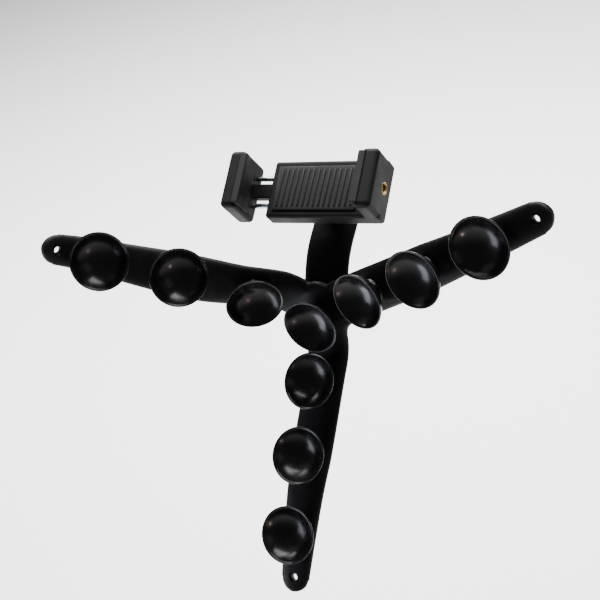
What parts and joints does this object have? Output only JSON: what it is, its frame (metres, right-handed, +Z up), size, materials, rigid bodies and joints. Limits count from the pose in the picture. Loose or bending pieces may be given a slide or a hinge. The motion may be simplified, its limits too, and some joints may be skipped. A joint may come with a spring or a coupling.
{
  "type": "car phone mount",
  "caption": "Suction-cup phone mount: bendable silicone arms and neck carrying a spring clamp on a threaded stud.",
  "frame": {"origin": "centre of the hub suction cup's rim, in the plane that it presses on", "axes": "-Y out of the hub cup towards the glass or dash that it sticks to, +Z up along the neck, the lower arm along -Z, +X to the right seen from the cup side"},
  "size_m": [0.2717, 0.1422, 0.2313],
  "materials": {
    "silicone": "satin",
    "cup_silicone": "gloss",
    "black_plastic": "fine texture",
    "pad_rubber": "matte",
    "steel": "satin",
    "brass": "turned"
  },
  "bodies": {
    "hub": {"hub_body": "silicone", "hub_cup": "cup_silicone", "hub_core_wire": "steel"},
    "left_inner": {"left_inner_arm": "silicone", "left_inner_cup": "cup_silicone", "left_inner_core_wire": "steel"},
    "left_middle": {"left_middle_arm": "silicone", "left_middle_cup": "cup_silicone", "left_middle_core_wire": "steel"},
    "left_outer": {"left_outer_arm": "silicone", "left_outer_cup": "cup_silicone", "left_outer_core_wire": "steel"},
    "right_inner": {"right_inner_arm": "silicone", "right_inner_cup": "cup_silicone", "right_inner_core_wire": "steel"},
    "right_middle": {"right_middle_arm": "silicone", "right_middle_cup": "cup_silicone", "right_middle_core_wire": "steel"},
    "right_outer": {"right_outer_arm": "silicone", "right_outer_cup": "cup_silicone", "right_outer_core_wire": "steel"},
    "lower_inner": {"lower_inner_arm": "silicone", "lower_inner_cup": "cup_silicone", "lower_inner_core_wire": "steel"},
    "lower_middle": {"lower_middle_arm": "silicone", "lower_middle_cup": "cup_silicone", "lower_middle_core_wire": "steel"},
    "lower_outer": {"lower_outer_arm": "silicone", "lower_outer_cup": "cup_silicone", "lower_outer_core_wire": "steel"},
    "neck_lower": {"neck_lower": "silicone", "neck_lower_core_wire": "steel"},
    "neck_upper": {"neck_upper": "silicone", "neck_upper_core_wire": "steel", "neck_stud": "steel", "neck_washer": "steel", "stud_nut": "steel"},
    "lock_knob": {"lock_knob": "black_plastic"},
    "clamp": {"clamp_body": "black_plastic", "rear_cover": "black_plastic", "fixed_jaw_pad": "pad_rubber", "back_pad": "pad_rubber", "side_insert": "brass", "rear_insert": "brass", "lower_spring": "steel", "upper_spring": "steel", "cover_screw_lower_left": "steel", "cover_screw_lower_right": "steel", "cover_screw_upper_left": "steel", "cover_screw_upper_right": "steel"},
    "moving_jaw": {"moving_jaw": "black_plastic", "moving_jaw_pad": "pad_rubber", "lower_guide_rod": "steel", "upper_guide_rod": "steel"}
  },
  "joints": [
    {"name": "left_inner_bend", "type": "hinge", "parent": "hub", "child": "left_inner", "pos_m": [-0.02122, 0.0173, 0.01225], "axis": [-0.5, 0, -0.866], "range_deg": [0, 72]},
    {"name": "left_middle_bend", "type": "hinge", "parent": "left_inner", "child": "left_middle", "pos_m": [-0.05162, -0.00821, 0.02981], "axis": [-0.4293, -0.1056, -0.897], "range_deg": [-36, 22]},
    {"name": "left_outer_bend", "type": "hinge", "parent": "left_middle", "child": "left_outer", "pos_m": [-0.0852, -0.0282, 0.04823], "axis": [-0.1524, -0.5191, -0.841], "range_deg": [-32, 22]},
    {"name": "right_inner_bend", "type": "hinge", "parent": "hub", "child": "right_inner", "pos_m": [0.02122, 0.0173, 0.01225], "axis": [-0.5, 0, 0.866], "range_deg": [-25, 47]},
    {"name": "right_middle_bend", "type": "hinge", "parent": "right_inner", "child": "right_middle", "pos_m": [0.05811, 0.00902, 0.03355], "axis": [-0.4701, 0.1451, 0.8706], "range_deg": [-33, 25]},
    {"name": "right_outer_bend", "type": "hinge", "parent": "right_middle", "child": "right_outer", "pos_m": [0.09559, 0.00446, 0.05455], "axis": [-0.4728, 0.1279, 0.8718], "range_deg": [-36, 18]},
    {"name": "lower_inner_bend", "type": "hinge", "parent": "hub", "child": "lower_inner", "pos_m": [0, 0.0173, -0.0245], "axis": [1, 0, 0], "range_deg": [0, 76]},
    {"name": "lower_middle_bend", "type": "hinge", "parent": "lower_inner", "child": "lower_middle", "pos_m": [0, -0.01089, -0.0575], "axis": [0.9976, -0.053, 0.0453], "range_deg": [-27, 31]},
    {"name": "lower_outer_bend", "type": "hinge", "parent": "lower_middle", "child": "lower_outer", "pos_m": [-0.00005, -0.03951, -0.08986], "axis": [1, -0.0008, -0.0009], "range_deg": [-36, 18]},
    {"name": "neck_lower_bend", "type": "hinge", "parent": "hub", "child": "neck_lower", "pos_m": [0, 0.02537, 0.01054], "axis": [-1, 0, 0], "range_deg": [-12, 40]},
    {"name": "neck_upper_bend", "type": "hinge", "parent": "neck_lower", "child": "neck_upper", "pos_m": [0, 0.03435, 0.02896], "axis": [-1, 0, 0], "range_deg": [-20, 40]},
    {"name": "lock_knob_spin", "type": "hinge", "parent": "neck_upper", "child": "lock_knob", "pos_m": [0, 0.05554, 0.0457], "axis": [0, 0.6198, -0.7848], "range_deg": [-360, 0]},
    {"name": "clamp_swivel", "type": "hinge", "parent": "neck_upper", "child": "clamp", "pos_m": [0, 0.05554, 0.0457], "axis": [0, 0.6198, -0.7848], "range_deg": [-15, 95]},
    {"name": "jaw_slide", "type": "slide", "parent": "clamp", "child": "moving_jaw", "axis": [-0.9977, -0.0534, -0.0422], "range_m": [-0.0112, 0.0186], "stiffness_N_per_m": 300, "springref_m": -0.03, "deforming": ["lower_spring", "upper_spring"]}
  ]
}
